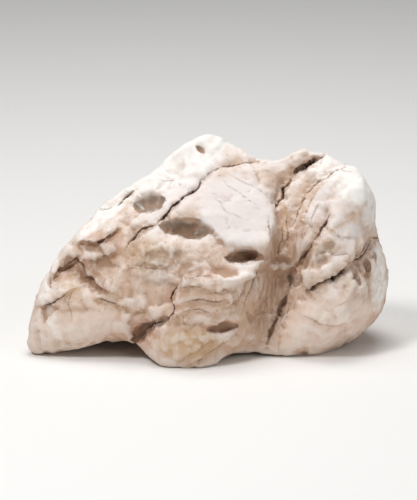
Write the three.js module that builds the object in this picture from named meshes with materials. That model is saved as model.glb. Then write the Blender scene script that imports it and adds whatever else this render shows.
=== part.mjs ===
// An aquascape stone: one piece of pale, folded limestone with a pointed wedge on the left,
// a deep fold beside it and a rounded lobe on the right. Millimetres, +Z up, -Y is the front.
// The origin is on the resting plane, under the middle of the stone's box.
import * as THREE from 'three';
import { ConvexHull } from 'three/addons/math/ConvexHull.js';
import { ImprovedNoise } from 'three/addons/math/ImprovedNoise.js';

// Driving dimensions.
const FRONT_TILT = THREE.MathUtils.degToRad(15); // the front is laid out as seen from this high
const CORE = new THREE.Vector3(2, 4, 28); // a point deep inside that the back and underside surround
const MIDDLE = new THREE.Vector3(0, 2.2, 0); // the layout's place of the stone's origin
const SKIN_SPACING = 7; // about the longest edge of a triangle on plain faces
const HOLLOW_SPACING = 4; // the same in a hollow
const CRACK_SPACING = 2.5; // the same on a crack
const PLAIN_HALVINGS = 4; // how often the edges of the facets may be halved
const FINE_HALVINGS = 2; // how often those in hollows and on cracks may be halved again
const WEAR_ROUNDS = 2; // rounds of smoothing, as wear on the edges
const WEAR = 0.4; // how far each round draws a point towards its neighbours, and back
const LEDGE_SLOPE = 2.5; // how far from its line a ledge has its full height
const LEDGE_REACH = 14; // how far from its line a ledge has faded away
const UNEVENNESS = 0.9; // how far the plain faces swell and dip
const SWELL_LENGTH = 17; // from one swelling to the next

// Corners of the front: [across, up, depth], with up measured square to the tilted view.
const OUTLINE = [
  [-70.7, -5, -19], [-74.5, -3.4, -17], [-72.3, 12.2, -14], [-69.7, 20.8, -12],
  [-64.3, 32.6, -8], [-57.3, 41.7, -5], [-50.3, 50.9, -1], [-42.8, 58.4, 2],
  [-37.4, 62.2, 3], [-29.9, 67.6, 5], [-21.3, 73.5, 7], [-11.6, 82.1, 9],
  [-5.1, 85.3, 11], [1.3, 88.3, 13], [5.6, 86.2, 14], [13.1, 81.5, 13],
  [21.7, 76.2, 11], [28.2, 76.7, 10], [33.6, 79.1, 9], [41.1, 80.5, 9],
  [49.7, 78.9, 8], [58.3, 74.3, 7], [64.8, 70, 4], [69.1, 62.7, 1],
  [68, 55.2, -1], [68.2, 46.6, 0], [70.7, 41.2, 2], [73.6, 33.7, 3],
  [75.1, 25.1, 3], [74.4, 18.6, 2], [70.7, 10.6, 0], [64.8, 4.1, -3],
  [57.8, -1.8, -7], [43.2, -4.8, -18], [27.1, -5.5, -21], [15.3, -3.4, -20],
  [8.8, -3.4, -25], [5.6, -4.5, -29], [-1.9, -10.4, -36], [-10.5, -10.6, -36],
  [-21.3, -8.6, -33], [-25.6, -5.5, -30], [-27.7, -1.2, -27], [-31.5, 2, -24],
  [-38.5, 1.8, -22], [-46, -0.2, -21], [-53.5, -2.3, -20], [-62.1, -3.7, -19],
];
const UPPER_BAND = [
  [20.6, 75.1, 8], [11, 73.5, 5], [4.5, 71.9, 2], [-1.9, 67, -2], [-6.8, 62.7, -6],
  [-11.6, 57.9, -10], [-17, 52.5, -13], [-21.3, 49.3, -15], [-26.7, 46, -16], [-32, 43.4, -16],
  [-3, 79.4, 8], [-17, 67, 2], [-29.9, 60.6, 0], [-37.4, 55.2, -3],
];
const CENTRAL_FACET = [
  [4.5, 67, -3], [14.2, 62.7, -6], [23.9, 55.2, -9], [26.6, 46.6, -16], [24.4, 39.6, -22],
  [17.4, 38, -23], [6.7, 42.3, -20], [-1.9, 49.8, -16], [-8.4, 55.2, -13], [12, 50, -15],
];
const MAIN_FACE = [
  [-25.6, 38, -20], [-10.5, 38, -24], [4.5, 33.7, -26], [16.4, 29.4, -27],
  [-34.2, 29.4, -22], [-19.1, 27.2, -27], [-11.6, 28.3, -29], [8.8, 27.2, -31], [17.4, 22.9, -27],
];
const LEDGE = [
  [-10.5, 27.2, -31], [-13.8, 16.5, -33], [-4, 22.9, -33], [8.8, 22.9, -32],
  [11, 14.3, -32], [-1.9, 14.3, -35], [-12.7, 12.2, -35], [-25.6, 6.8, -27], [-21.3, 3.6, -30],
];
const FOOT = [
  [-17, 4.7, -36], [-8.4, 7.9, -38], [-21.3, -1.8, -35], [-10.5, -1.8, -39], [0.2, 0.3, -38],
  [6.7, 3.6, -35], [-1.9, -5, -38], [-19.1, -5, -35],
];
const TIP = [
  [-42.8, 47.7, -9], [-49.2, 44.4, -8], [-36.3, 50.9, -8], [-45, 38, -15], [-53.5, 38, -11],
  [-53.5, 29.4, -12], [-60, 29.4, -12], [-64.3, 25.1, -13], [-58.9, 22.9, -19], [-51.4, 22.9, -20],
  [-42.8, 22.9, -21], [-47.1, 29.4, -14], [-66.4, 14.3, -18], [-55.7, 16.5, -22],
  [-42.8, 15.4, -25], [-32, 20.8, -25], [-32, 15.4, -26], [-21.3, 18.6, -28],
  [-69.6, 5.8, -20], [-58.9, 6.8, -24], [-44.9, 6.8, -26], [-34.2, 7.9, -27],
  [-25.6, 12.2, -29], [-66.4, -1.8, -21], [-53.5, 0.3, -24], [-40.6, 3, -25],
];
const FOLD = [
  [35.7, 71.3, 8], [29.3, 60.6, 0], [29.3, 50.9, -6], [30.9, 40.1, -9], [28.2, 29.4, -12],
  [23.9, 18.6, -15], [20.7, 9, -19], [20.1, 1.4, -21],
  [33.6, 47.7, -8], [34.6, 38, -10], [33.6, 27.2, -12], [31.4, 16.5, -15], [28.2, 5.8, -18],
  [26, 33.7, -24], [19.6, 22.9, -27], [15.3, 14.3, -28], [13.1, 5.8, -28], [14.2, -0.7, -24],
];
const LOBE = [
  [41.1, 73.5, 6], [49.7, 73.5, 4], [58.3, 69.2, 1],
  [60.4, 62.7, -8], [52.9, 60.6, -9], [64.8, 55.2, -7],
  [43.2, 57.3, -7], [41.1, 49.8, -12], [38.9, 41.2, -16],
  [52.9, 52, -14], [58.3, 46.6, -12], [49.7, 38, -20], [45.4, 31.6, -21], [40, 25.1, -19],
  [56.1, 38, -17], [64.8, 42.3, -8],
  [48.6, 19.7, -27], [59.4, 25.1, -23], [68, 31.6, -11], [64.8, 16.5, -17], [54, 12.2, -28],
  [41.1, 12.2, -27], [35.7, 3.6, -24], [48.6, 3.6, -24], [59.4, 5.8, -16],
];

// Corners of the back and the underside: [x, y, z]. Those below the resting plane are cut off on it.
const BACK = [
  [-72, -6, 8], [-60, 8, 26], [-59, 14, 10], [-45, 14, 44], [-44, 24, 26], [-43, 27, 8],
  [-26, 20, 60], [-24, 32, 42], [-26, 38, 22], [-24, 36, 4],
  [-8, 24, 76], [-4, 34, 58], [-2, 42, 36], [-6, 43, 14], [12, 26, 72], [14, 34, 56],
  [14, 38, 30], [12, 38, 8], [24, 22, 66], [24, 30, 44], [22, 33, 20], [24, 32, 3],
  [40, 22, 72], [38, 34, 54], [38, 40, 32], [40, 42, 12], [56, 18, 64], [58, 28, 44],
  [60, 32, 22], [58, 30, 2], [68, 12, 46], [72, 16, 26], [68, 18, 6],
];
const UNDERSIDE = [
  [-71, -8, -1.5], [-60, 10, 1], [-60, -4, 2.5], [-45, 2, 4], [-42, 24, -1.5], [-30, -12, 6],
  [-30, 12, -1.5], [-12, -18, 3], [-10, 5, 1.5], [-12, 25, -1.5], [-4, 39, -1.5], [10, -12, 3],
  [10, 10, 2], [28, -8, -1.5], [30, 15, 1], [46, -4, 0.5], [44, 24, -1.5], [42, 39, -1.5], [58, 8, 2],
];

// Hollows worn into the front: at [across, up], its half length and half height, turned so many
// degrees, and its depth. A lip above 0 moves the deepest place down, to a sharper lower edge.
const FRONT_HOLLOWS = [
  { at: [-24, 58], half: [7, 4.6], turn: 12, depth: 1.8, lip: 0.2 },
  { at: [-8.5, 47], half: [11.5, 5], turn: -7, depth: 3.4, lip: 0.6 },
  { at: [14.8, 36.2], half: [8, 3.8], turn: 4, depth: 4.2, lip: 0.3 },
  { at: [5.1, 7.4], half: [7, 2.8], turn: 8, depth: 3, lip: 0.2 },
  { at: [-56, 33.5], half: [6, 3.6], turn: 30, depth: 2, lip: 0.3 },
  { at: [-3, 79.4], half: [3, 2], turn: -40, depth: 2.4, lip: 0 },
  { at: [-26.5, 5.5], half: [6.5, 3.4], turn: 35, depth: 3.2, lip: 0 },
  { at: [48, 34.5], half: [6, 4], turn: 35, depth: 1.5, lip: 0 },
  { at: [62.5, 31], half: [4, 6], turn: 0, depth: 1.6, lip: 0 },
];
const BACK_HOLLOWS = [
  { at: [-40, 30], half: [11, 6], turn: 50, depth: 2.4, lip: 0.3 },
  { at: [3, 52], half: [9, 5], turn: 20, depth: 2.6, lip: 0.5 },
  { at: [48, 22], half: [10, 5], turn: -15, depth: 2.6, lip: 0.4 },
  { at: [-8, 16], half: [8, 4], turn: 10, depth: 2, lip: 0.3 },
];

// Cracks and ledges of the front: a line of [across, up], half the crack's width and its depth, and
// how far the stone to the left of the line, as it runs, stands out past the stone to its right.
const FRONT_CRACKS = [
  { half: 1.4, depth: 1.5, step: 0.5, line: [[-32, 43.4], [-26.7, 46], [-21.3, 49.3], [-17, 52.5],
    [-11.6, 57.9], [-6.8, 62.7], [-1.9, 67], [4.5, 71.9], [11, 73.5], [20.6, 75.1]] },
  { half: 1.8, depth: 3, step: 1, line: [[46.5, 76.7], [37.9, 71.4], [35.8, 68.7], [30.4, 63.8],
    [28.2, 58.4]] },
  { half: 2, depth: 1.2, step: 1.2, line: [[57.3, 73.5], [51.9, 70.3], [44.4, 66], [40.1, 61.7],
    [36.8, 55.2], [33.6, 47.7]] },
  { half: 1.5, depth: 1.6, step: 1.6, line: [[49.2, 54.1], [47.6, 48.8], [43.3, 41.2], [37.9, 31.6],
    [33.6, 27.3]] },
  { half: 1.8, depth: 2.6, step: 2, line: [[40, 21.7], [46.5, 24], [53, 28.3], [58.3, 33.7], [63.7, 38],
    [66.6, 42.6]] },
  { half: 2.2, depth: 1.4, step: 0, line: [[33.6, 27.3], [32.5, 23], [28.2, 12.2], [25, 4.7]] },
  { half: 2.2, depth: 1.4, step: 2, line: [[-61, 28.6], [-56, 31], [-53.5, 31], [-49, 27], [-42.8, 24]] },
  { half: 1.5, depth: 0.8, step: 1.8, line: [[-50, 41], [-45, 41.4], [-41.7, 42.9], [-37.4, 46.6]] },
  { half: 1.5, depth: 0.6, step: 1.4, line: [[-50.3, 33.7], [-44, 34.5], [-38.4, 36.9]] },
  { half: 1.5, depth: 0.8, step: 1.2, line: [[-65.3, 16.5], [-59, 18.8], [-53.5, 20.8]] },
  { half: 1.4, depth: 0.6, step: 0.8, line: [[-43, 17], [-37, 16], [-31.5, 15.4]] },
  { half: 1.5, depth: 1.4, step: 0.6, line: [[-46.6, 54.3], [-40.4, 55.6], [-36.5, 58.5], [-30.9, 62.5]] },
  { half: 1.6, depth: 0.8, step: 1.8, line: [[-10.5, 28], [-13.7, 18.6], [-17, 12], [-24, 7.6]] },
  { half: 1.4, depth: 0.3, step: 1.1, line: [[16, 29.4], [8.8, 27.4], [-1, 29], [-10.5, 28]] },
  { half: 1.5, depth: 0.3, step: 2.2, line: [[24, 38], [26.5, 44], [27.5, 50], [26.6, 57]] },
  { half: 1.4, depth: 0.3, step: 1.2, line: [[2.4, 45.6], [7, 41], [20, 38.6], [24, 38]] },
  { half: 1.5, depth: 0.6, step: 0.8, line: [[-11.6, 20.8], [-3, 20.2], [4, 20.8], [10, 21.5]] },
  { half: 1.5, depth: 0.6, step: 0.8, line: [[-13, 14], [-5, 15.6], [3, 16], [11, 17.5]] },
  { half: 1.4, depth: 0.8, step: 1.4, line: [[-15, 10.6], [-4, 9.4], [4, 7], [11, 9.6]] },
];
const BACK_CRACKS = [
  { half: 1.6, depth: 1.8, step: 1.2, line: [[-52, 36], [-38, 38], [-24, 46], [-9, 50], [4, 62], [11, 74]] },
  { half: 1.5, depth: 1.4, step: -1, line: [[-46, 8], [-38, 20], [-33, 33], [-24, 46]] },
  { half: 1.9, depth: 2.6, step: 1.6, line: [[31, 74], [27, 62], [29, 48], [22, 34], [24, 18], [17, 6]] },
  { half: 1.5, depth: 1.4, step: 1.4, line: [[22, 34], [36, 40], [50, 41], [66, 50]] },
  { half: 1.5, depth: 1.3, step: 0.8, line: [[36, 40], [42, 27], [38, 14], [43, 3]] },
  { half: 1.5, depth: 1.3, step: -1, line: [[-9, 50], [-4, 36], [-14, 24], [-11, 10]] },
];

// A corner laid out on the tilted front view, as a point of the stone.
function seen([across, up, depth]) {
  return new THREE.Vector3(across, depth, (up - depth * Math.sin(FRONT_TILT)) / Math.cos(FRONT_TILT));
}

// Where a point of the stone lies on the front's layout, and on the back's.
const onFront = (p) => new THREE.Vector2(p.x, p.z * Math.cos(FRONT_TILT) + p.y * Math.sin(FRONT_TILT));
const onBack = (p) => new THREE.Vector2(p.x, p.z);
const FRONT_VIEW = new THREE.Vector3(0, -Math.cos(FRONT_TILT), Math.sin(FRONT_TILT));
const BACK_VIEW = new THREE.Vector3(0, 1, 0);

// The faces of a convex hull, as rings of indices of its points, anticlockwise from outside.
function hullRings(points) {
  const order = new Map(points.map((point, i) => [point, i]));
  return new ConvexHull().setFromPoints(points).faces.map((face) => {
    const ring = [];
    let edge = face.edge;
    do {
      ring.push(order.get(edge.head().point));
      edge = edge.next;
    } while (edge !== face.edge);
    return { ring, normal: face.normal };
  });
}

// The outline's corners come first in every list, clockwise as seen from the front. A triangle that
// has only outline corners bridges a bay of the outline if it runs the same way round.
function bridgesBay([a, b, c]) {
  if (Math.max(a, b, c) >= OUTLINE.length) return false;
  return (a < b && b < c) || (b < c && c < a) || (c < a && a < b);
}

// Joins the front's corners: those that are neighbours on the front view.
function frontFacets(layout) {
  const bowl = layout.map(([across, up]) => new THREE.Vector3(across, up, (across ** 2 + up ** 2) / 100));
  return hullRings(bowl)
    .filter(({ normal }) => normal.z < 0)
    .map(({ ring }) => ring.reverse())
    .filter((ring) => !bridgesBay(ring));
}

// Joins the corners of the back and the underside: those that are neighbours as seen from the core.
function rearFacets(corners) {
  const rays = corners.map((corner) => corner.clone().sub(CORE).normalize());
  return hullRings(rays)
    .map(({ ring }) => ring)
    .filter((ring) => !bridgesBay([...ring].reverse()));
}

// The corners and facets of the whole stone. The outline's corners are shared by front and back.
function facetedStone() {
  const layout = [OUTLINE, UPPER_BAND, CENTRAL_FACET, MAIN_FACE, LEDGE, FOOT, TIP, FOLD, LOBE].flat();
  const front = layout.map(seen);
  const rear = [BACK, UNDERSIDE].flat().map((corner) => new THREE.Vector3(...corner));
  const outline = front.slice(0, OUTLINE.length);
  const rearIndex = (i) => (i < OUTLINE.length ? i : i - OUTLINE.length + front.length);
  return {
    points: [...front, ...rear],
    triangles: [
      ...frontFacets(layout),
      ...rearFacets([...outline, ...rear]).map((ring) => ring.map(rearIndex)),
    ],
  };
}

// Halves every edge that is longer than its place asks for, and cuts the triangles on it to match.
function halveLongEdges(skin, spacingAt) {
  const middles = new Map();
  const middleOf = (a, b) => {
    const key = Math.min(a, b) * 1e6 + Math.max(a, b);
    if (!middles.has(key)) {
      const middle = skin.points[a].clone().add(skin.points[b]).divideScalar(2);
      const long = skin.points[a].distanceTo(skin.points[b]) > spacingAt(middle);
      middles.set(key, long ? skin.points.push(middle) - 1 : null);
    }
    return middles.get(key);
  };
  skin.triangles = skin.triangles.flatMap((ring) => {
    const cuts = ring.map((corner, k) => middleOf(corner, ring[(k + 1) % 3]));
    const count = cuts.filter((cut) => cut !== null).length;
    if (count === 0) return [ring];
    // Turned so that the edge from a to b is cut, and the edge from c to a is whole if any is.
    const turn = count === 2 ? (cuts.indexOf(null) + 1) % 3 : cuts.findIndex((cut) => cut !== null);
    const [a, b, c] = [0, 1, 2].map((k) => ring[(turn + k) % 3]);
    const [ab, bc, ca] = [0, 1, 2].map((k) => cuts[(turn + k) % 3]);
    if (count === 1) return [[a, ab, c], [ab, b, c]];
    if (count === 2) return [[ab, b, bc], [a, ab, bc], [a, bc, c]];
    return [[a, ab, ca], [ab, b, bc], [ca, bc, c], [ab, bc, ca]];
  });
}

// The indices next to each point of a skin.
function neighboursOf({ points, triangles }) {
  const next = points.map(() => new Set());
  for (const ring of triangles) {
    ring.forEach((corner, k) => next[corner].add(ring[(k + 1) % 3]).add(ring[(k + 2) % 3]));
  }
  return next.map((set) => [...set]);
}

// The unit normal at each point of a skin.
function normalsOf({ points, triangles }) {
  const normals = points.map(() => new THREE.Vector3());
  for (const [a, b, c] of triangles) {
    const across = points[b].clone().sub(points[a]).cross(points[c].clone().sub(points[a]));
    [a, b, c].forEach((corner) => normals[corner].add(across));
  }
  return normals.map((normal) => normal.normalize());
}

// Wears the edges by drawing each point towards the mean of its neighbours, and most of the way back.
function wear(skin) {
  const next = neighboursOf(skin);
  const draw = (share) => {
    skin.points = skin.points.map((p, i) => {
      const mean = next[i].reduce((sum, n) => sum.add(skin.points[n]), new THREE.Vector3());
      return p.clone().lerp(mean.divideScalar(next[i].length), share);
    });
  };
  for (let round = 0; round < WEAR_ROUNDS; round += 1) {
    draw(WEAR);
    draw(-WEAR);
  }
  draw(WEAR / 2);
}

// The point of a crack's line that is nearest to a place on its layout, how far off it is, and the
// side of the line that the place is on: 1 on the left as the line runs, -1 on the right.
function nearestOnLine(place, line) {
  const nearest = { point: null, away: Infinity, side: 0 };
  line.slice(1).forEach((end, k) => {
    const start = new THREE.Vector2(...line[k]);
    const run = new THREE.Vector2(...end).sub(start);
    const offset = place.clone().sub(start);
    const along = THREE.MathUtils.clamp(offset.dot(run) / run.lengthSq(), 0, 1);
    const point = start.addScaledVector(run, along);
    const away = place.distanceTo(point);
    if (away < nearest.away) Object.assign(nearest, { point, away, side: Math.sign(run.cross(offset)) });
  });
  return nearest;
}

// How deep a hollow is at a place on its layout.
function hollowDepth(place, { at, half, turn, depth, lip }) {
  const local = place.clone().sub(new THREE.Vector2(...at));
  local.rotateAround(new THREE.Vector2(), -THREE.MathUtils.degToRad(turn));
  const [u, v] = [local.x / half[0], local.y / half[1]];
  const inside = Math.max(0, 1 - u * u - v * v);
  return depth * Math.sqrt(inside) * inside * (1 - lip * v) * 1.3;
}

// How deep the stone lies behind its plain skin at a place on a layout, below 0 where it stands out.
function reliefDepth(place, hollows, cracks) {
  const worn = hollows.reduce((sum, hollow) => sum + hollowDepth(place, hollow), 0);
  let split = 0;
  let ledge = 0;
  for (const { half, depth, step, line } of cracks) {
    const { away, side } = nearestOnLine(place, line);
    const risen = THREE.MathUtils.smoothstep(away, 0, LEDGE_SLOPE);
    const fading = 1 - THREE.MathUtils.smoothstep(away, LEDGE_SLOPE, LEDGE_REACH);
    split = Math.max(split, depth * (1 - away / half));
    ledge += 0.5 * step * side * risen * fading;
  }
  return worn + split - ledge;
}

// The longest edge wanted at a place on a layout.
function spacingOn(place, hollows, cracks) {
  const onCrack = ({ half, line }) => nearestOnLine(place, line).away < half + 0.9;
  if (cracks.some(onCrack)) return CRACK_SPACING;
  return hollows.some((hollow) => hollowDepth(place, hollow) > 0) ? HOLLOW_SPACING : SKIN_SPACING;
}

// The move that brings a place on a layout onto the nearest crack's line, if that is close by.
function moveOntoCrack(place, cracks) {
  const all = cracks.map(({ line }) => nearestOnLine(place, line));
  const nearest = all.reduce((best, one) => (one.away < best.away ? one : best));
  return nearest.away < CRACK_SPACING / 2 ? nearest.point.sub(place) : new THREE.Vector2();
}

// How far the features of a view reach a point with this normal, from 0 to 1.
const facing = (normal, view) => THREE.MathUtils.smoothstep(normal.dot(view), 0.05, 0.3);

function stoneSkin() {
  const skin = facetedStone();
  for (let round = 0; round < PLAIN_HALVINGS; round += 1) halveLongEdges(skin, () => SKIN_SPACING);
  wear(skin);
  const swell = new ImprovedNoise();
  const normals = normalsOf(skin);
  skin.points.forEach((p, i) => {
    const swollen = swell.noise(...p.clone().divideScalar(SWELL_LENGTH).toArray());
    p.addScaledVector(normals[i], UNEVENNESS * swollen);
  });
  const spacingAt = (p) => (p.y < 0.3 * p.z
    ? spacingOn(onFront(p), FRONT_HOLLOWS, FRONT_CRACKS)
    : spacingOn(onBack(p), BACK_HOLLOWS, BACK_CRACKS));
  for (let round = 0; round < FINE_HALVINGS; round += 1) halveLongEdges(skin, spacingAt);
  wear(skin);
  const outwards = normalsOf(skin);
  skin.points.forEach((p, i) => {
    const atFront = facing(outwards[i], FRONT_VIEW) > 0;
    const atBack = facing(outwards[i], BACK_VIEW) > 0;
    const move = atFront ? moveOntoCrack(onFront(p), FRONT_CRACKS) : moveOntoCrack(onBack(p), BACK_CRACKS);
    if (atFront || atBack) p.add(new THREE.Vector3(move.x, 0, move.y));
  });
  skin.points.forEach((p, i) => {
    const front = facing(outwards[i], FRONT_VIEW) * reliefDepth(onFront(p), FRONT_HOLLOWS, FRONT_CRACKS);
    const back = facing(outwards[i], BACK_VIEW) * reliefDepth(onBack(p), BACK_HOLLOWS, BACK_CRACKS);
    p.addScaledVector(outwards[i], -front - back);
  });
  wear(skin);
  skin.points.forEach((p) => p.setZ(Math.max(p.z, 0)));
  skin.points.forEach((p) => p.sub(MIDDLE));
  return new THREE.BufferGeometry().setFromPoints(skin.points).setIndex(skin.triangles.flat());
}

const limestone = new THREE.MeshStandardMaterial({ color: '#dccfc4', roughness: 0.9, metalness: 0 });
const stone = new THREE.Mesh(stoneSkin(), limestone);
stone.name = 'stone';

const part = new THREE.Group();
part.add(stone);

export default part;
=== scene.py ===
import logging
import math
import random
from dataclasses import dataclass, field, fields
from enum import Enum
from functools import cached_property
from typing import Any, ClassVar, Iterable, Sequence

import bmesh
import bpy
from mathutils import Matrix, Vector, noise
from mathutils.bvhtree import BVHTree
from mathutils.kdtree import KDTree


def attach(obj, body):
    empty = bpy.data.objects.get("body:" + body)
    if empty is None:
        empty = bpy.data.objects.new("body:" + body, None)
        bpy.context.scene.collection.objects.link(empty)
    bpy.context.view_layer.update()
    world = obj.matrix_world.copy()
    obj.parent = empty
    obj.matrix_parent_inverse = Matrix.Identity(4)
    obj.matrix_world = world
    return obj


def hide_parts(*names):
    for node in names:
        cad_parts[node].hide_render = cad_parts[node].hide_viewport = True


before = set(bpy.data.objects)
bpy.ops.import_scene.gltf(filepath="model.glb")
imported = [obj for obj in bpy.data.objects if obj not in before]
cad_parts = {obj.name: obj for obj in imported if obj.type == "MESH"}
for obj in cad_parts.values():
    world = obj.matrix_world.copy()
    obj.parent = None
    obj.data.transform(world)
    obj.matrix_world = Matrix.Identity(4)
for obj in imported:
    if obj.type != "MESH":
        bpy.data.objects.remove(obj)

log = logging.getLogger("stone")
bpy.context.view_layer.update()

MM = 0.001
FRONT_TILT = math.radians(15)  # how far the front is seen from above
LAYOUT_MIDDLE = Vector((0.0, 2.2, 0.0)) * MM  # the layout's place of the stone's own origin
SEED = 11

Place = tuple[float, float]
Wavers = tuple[tuple[float, float], ...]  # of each: how far it strays, and how fast it changes


class View(Enum):
    """A side of the stone on which features are laid out, in mm across and up."""

    FRONT = "front"
    BACK = "back"
    LEFT = "left"
    RIGHT = "right"
    TOP = "top"

    def axes(self) -> tuple[Vector, Vector, Vector]:
        """The directions of this view.

        Returns:
            Across, up and into the stone.
        """
        s, c = math.sin(FRONT_TILT), math.cos(FRONT_TILT)
        return {
            View.FRONT: (Vector((1, 0, 0)), Vector((0, s, c)), Vector((0, c, -s))),
            View.BACK: (Vector((1, 0, 0)), Vector((0, 0, 1)), Vector((0, -1, 0))),
            View.LEFT: (Vector((0, 1, 0)), Vector((0, 0, 1)), Vector((1, 0, 0))),
            View.RIGHT: (Vector((0, 1, 0)), Vector((0, 0, 1)), Vector((-1, 0, 0))),
            View.TOP: (Vector((1, 0, 0)), Vector((0, 1, 0)), Vector((0, 0, -1))),
        }[self]

    def place(self, point: Vector) -> Place:
        """Finds where a point of the stone lies on this view.

        Args:
            point: the point, in metres.

        Returns:
            Its place across and up, in mm.
        """
        across, up, _ = self.axes()
        p = point + LAYOUT_MIDDLE
        return p.dot(across) / MM, p.dot(up) / MM

    def start(self, place: Place, reach: float) -> Vector:
        """A point outside the stone, in front of a place on this view."""
        across, up, inward = self.axes()
        return (across * place[0] + up * place[1]) * MM - inward * reach - LAYOUT_MIDDLE


class Tint(Enum):
    """Weathered limestone's colours, as sRGB hex; several of them are painted light and shade."""

    # The ground colour; its patches low on the lobe and the tip are painted light.
    CREAM = "#E5D0C1"
    # Painted shade: the colour where faces turn aside or down.
    BEIGE = "#CDAF97"
    # The pale faces' own tone, partly painted highlight where faces turn up.
    LAVENDER = "#EBE1DD"
    # Painted highlight on the tops and rims, and whitened edges that are partly worn.
    CHALK = "#FAF6F1"
    # Pink flecks in the stone, and painted shade under ledges, in crevices and low down.
    ROSE = "#C99F87"
    # Brown specks in the stone, and painted shade in hollows and on the main face.
    UMBER = "#8D7D6E"
    # Painted shade in the deepest pits and crevices.
    SOOT = "#6B4E3E"
    OCHRE = "#C8A683"
    # The fold's own brown and the band beside the cracks, and painted shade in recesses and under ledges.
    FOLD = "#AD8B72"
    # Painted shade inside the cracks.
    DARK = "#3E2B21"

    @property
    def attribute(self) -> str:
        """The name under which the skin keeps how far this tint covers it."""
        return f"tint_{self.name.lower()}"


def waver(place: Place, rate: float, seed: float) -> float:
    """Smooth noise of either sign at a place in mm, which changes faster with a higher rate."""
    return noise.noise(Vector((place[0] * rate, place[1] * rate, seed)))


@dataclass(frozen=True)
class Crack:
    """A crack: its line on a view, half its width and its depth in mm, and how dark it is inside, which is
    painted shade.
    """

    view: View
    half: float
    depth: float
    tone: float
    line: tuple[Place, ...]


@dataclass(frozen=True)
class Ledge:
    """A step in the stone along a line: what lies left of it, as it runs, stands out by so many mm.

    The slope is half the width of the step, the reach is how far it fades beside the line, and the
    run-out how far past its ends, all in mm.
    """

    view: View
    step: float
    line: tuple[Place, ...]
    slope: float = 0.9
    reach: float = 8.0
    run_out: float = 2.0
    ragged: float = 0.5
    ragged_rate: float = 0.5

    @cached_property
    def box(self) -> tuple[float, float, float, float]:
        """The lowest and highest places, across and up, that the ledge reaches."""
        across, up = zip(*self.line)
        return (min(across) - self.reach, max(across) + self.reach,
                min(up) - self.reach, max(up) + self.reach)

    def rise(self, place: Place) -> float:
        """How far the stone stands out at a place, below 0 on the line's right.

        Args:
            place: the place on the ledge's view, in mm.

        Returns:
            The rise in mm, which fades away beside the line and past its ends.
        """
        x, y = place
        left, right, low, high = self.box
        if not (left < x < right and low < y < high):
            return 0.0
        best, side, beyond = self.reach, 0.0, 0.0
        for (x0, y0), (x1, y1) in zip(self.line, self.line[1:]):
            run_x, run_y = x1 - x0, y1 - y0
            length = math.hypot(run_x, run_y)
            along = ((x - x0) * run_x + (y - y0) * run_y) / length
            held = min(length, max(0.0, along))
            away = math.hypot(x - x0 - run_x * held / length, y - y0 - run_y * held / length)
            if away < best:
                best, beyond = away, abs(along - held)
                side = (run_x * (y - y0) - run_y * (x - x0)) / length
        if best >= self.reach:
            return 0.0
        side += self.ragged * waver(place, self.ragged_rate, self.step)
        climb = min(1.0, max(-1.0, side / self.slope))
        fade = (1 - best / self.reach) ** 2
        return 0.5 * self.step * climb * fade * max(0.0, 1 - beyond / self.run_out)


@dataclass(frozen=True)
class Patch:
    """A rounded patch on a view: its centre and half sizes in mm, and its turn in degrees."""

    view: View
    at: Place
    half: Place
    turn: float

    def local(self, place: Place) -> Place:
        """Finds a place in the patch's own measure.

        Args:
            place: the place on the patch's view, in mm.

        Returns:
            The same place along and across the patch, whose rim is 1 from its centre.
        """
        turn = math.radians(self.turn)
        x, y = place[0] - self.at[0], place[1] - self.at[1]
        return ((x * math.cos(turn) + y * math.sin(turn)) / self.half[0],
                (y * math.cos(turn) - x * math.sin(turn)) / self.half[1])


@dataclass(frozen=True)
class Hollow(Patch):
    """A chipped hollow: deepest near its lower edge, which is sharp, with painted shade of one tint in it.

    The depth is in mm. The deepest line lies at the height `lowest`, from -1 at the lower rim to 1 at
    the upper one. The ends are blunter the higher `blunt` is, and the bowl is rounder the lower `bowl` is.
    """

    depth: float
    tint: Tint
    strength: float
    lowest: float = -0.45
    ragged: Wavers = ((0.22, 0.35), (0.10, 1.1))
    blunt: float = 1.6
    bowl: float = 0.85
    dirt_up: float = 2.2
    dirt_along: float = 3.0

    def sink(self, place: Place) -> tuple[float, float]:
        """How deep the hollow is at a place.

        Args:
            place: the place on the hollow's view, in mm.

        Returns:
            The depth in mm and the strength of the dirt.
        """
        u, v = self.local(place)
        reach = 1 - abs(u) ** self.blunt
        reach += sum(far * waver(place, rate, seed) for (far, rate), seed in zip(self.ragged, self.at))
        if reach <= 0:
            return 0.0, 0.0
        span = math.sqrt(min(1.0, reach))
        height = v / span
        if abs(height) >= 1:
            return 0.0, 0.0
        run = (1 - height) / (1 - self.lowest) if height > self.lowest else (1 + height) / (1 + self.lowest)
        depth = self.depth * span * min(1.0, run) ** self.bowl
        # The hollow's tint is painted shade, strongest in its deep part and fading to its rim and ends.
        shade = self.strength * min(1.0, self.dirt_up * run) * min(1.0, self.dirt_along * span)
        return depth, shade


@dataclass(frozen=True)
class TintPatch(Patch):
    """A soft patch of one tint, which is full further out the firmer it is."""

    tint: Tint
    strength: float = 1.0
    firmness: float = 1.6

    def cover(self, place: Place) -> float:
        """How strongly the patch covers a place, fading out to its rim."""
        u, v = self.local(place)
        return self.strength * min(1.0, self.firmness * max(0.0, 1 - u * u - v * v))


F, B, L, R, T = View.FRONT, View.BACK, View.LEFT, View.RIGHT, View.TOP

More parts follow.
